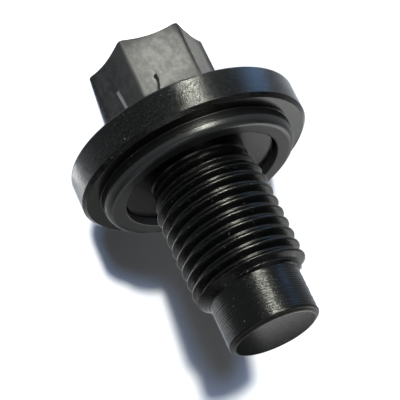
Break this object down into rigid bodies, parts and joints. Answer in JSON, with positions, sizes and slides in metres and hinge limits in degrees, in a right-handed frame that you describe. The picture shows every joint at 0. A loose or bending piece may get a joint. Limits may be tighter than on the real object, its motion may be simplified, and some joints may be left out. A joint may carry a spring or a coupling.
{
  "type": "oil drain plug",
  "caption": "Flanged hexagon-head oil drain plug with a rolled metric thread, a plain pilot point and a rubber seal ring in a groove under the flange.",
  "frame": {"origin": "middle of the plane that the six corners of the hexagon head stand on, which is the bottom centre of the part", "axes": "+Z along the plug's axis, from the head towards the pilot tip; +X through a corner of the hexagon"},
  "size_m": [0.029, 0.029, 0.0392],
  "materials": {
    "black_oxide_steel": "black oxide, semi-gloss",
    "black_rubber": "moulded, satin"
  },
  "bodies": {
    "root": {"plug_body": "black_oxide_steel", "seal_ring": "black_rubber"}
  },
  "joints": []
}
